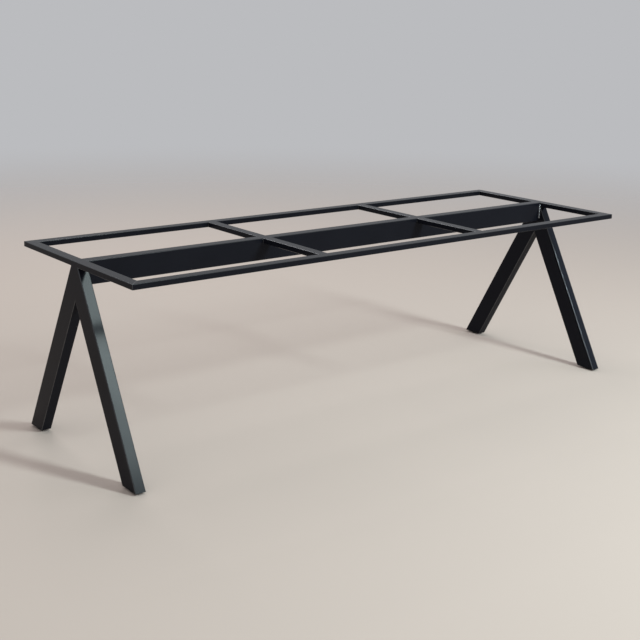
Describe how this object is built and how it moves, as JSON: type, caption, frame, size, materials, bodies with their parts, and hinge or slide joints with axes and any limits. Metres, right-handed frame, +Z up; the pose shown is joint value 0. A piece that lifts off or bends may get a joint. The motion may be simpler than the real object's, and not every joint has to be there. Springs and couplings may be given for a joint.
{
  "type": "steel table base with A-frame legs",
  "caption": "Black welded steel table base: rectangular tube top frame with cross bars and a deep centre beam on A-shaped end legs with screw-in levelling glides.",
  "frame": {"origin": "on the floor, under the middle of the top frame", "axes": "+X along the table's length, +Y across it from front to back, +Z up"},
  "size_m": [2.4, 0.8, 0.72],
  "materials": {
    "black_powder_coat": "satin",
    "zinc_steel": "zinc plated",
    "black_nylon": "moulded"
  },
  "bodies": {
    "frame": {"front_rail": "black_powder_coat", "back_rail": "black_powder_coat", "left_end_rail": "black_powder_coat", "right_end_rail": "black_powder_coat", "centre_beam": "black_powder_coat", "left_front_cross_bar": "black_powder_coat", "left_back_cross_bar": "black_powder_coat", "right_front_cross_bar": "black_powder_coat", "right_back_cross_bar": "black_powder_coat", "left_front_leg": "black_powder_coat", "left_back_leg": "black_powder_coat", "right_front_leg": "black_powder_coat", "right_back_leg": "black_powder_coat", "left_front_foot_plate": "black_powder_coat", "left_back_foot_plate": "black_powder_coat", "right_front_foot_plate": "black_powder_coat", "right_back_foot_plate": "black_powder_coat", "left_front_weld_nut": "zinc_steel", "left_back_weld_nut": "zinc_steel", "right_front_weld_nut": "zinc_steel", "right_back_weld_nut": "zinc_steel"},
    "left_front_glide": {"left_front_glide_stud": "zinc_steel", "left_front_glide_base": "black_nylon"},
    "left_back_glide": {"left_back_glide_stud": "zinc_steel", "left_back_glide_base": "black_nylon"},
    "right_front_glide": {"right_front_glide_stud": "zinc_steel", "right_front_glide_base": "black_nylon"},
    "right_back_glide": {"right_back_glide_stud": "zinc_steel", "right_back_glide_base": "black_nylon"}
  },
  "joints": [
    {"name": "left_front_glide_screw", "type": "slide", "parent": "frame", "child": "left_front_glide", "axis": [0, 0, -1], "range_m": [0, 0.012]},
    {"name": "left_back_glide_screw", "type": "slide", "parent": "frame", "child": "left_back_glide", "axis": [0, 0, -1], "range_m": [0, 0.012]},
    {"name": "right_front_glide_screw", "type": "slide", "parent": "frame", "child": "right_front_glide", "axis": [0, 0, -1], "range_m": [0, 0.012]},
    {"name": "right_back_glide_screw", "type": "slide", "parent": "frame", "child": "right_back_glide", "axis": [0, 0, -1], "range_m": [0, 0.012]}
  ]
}
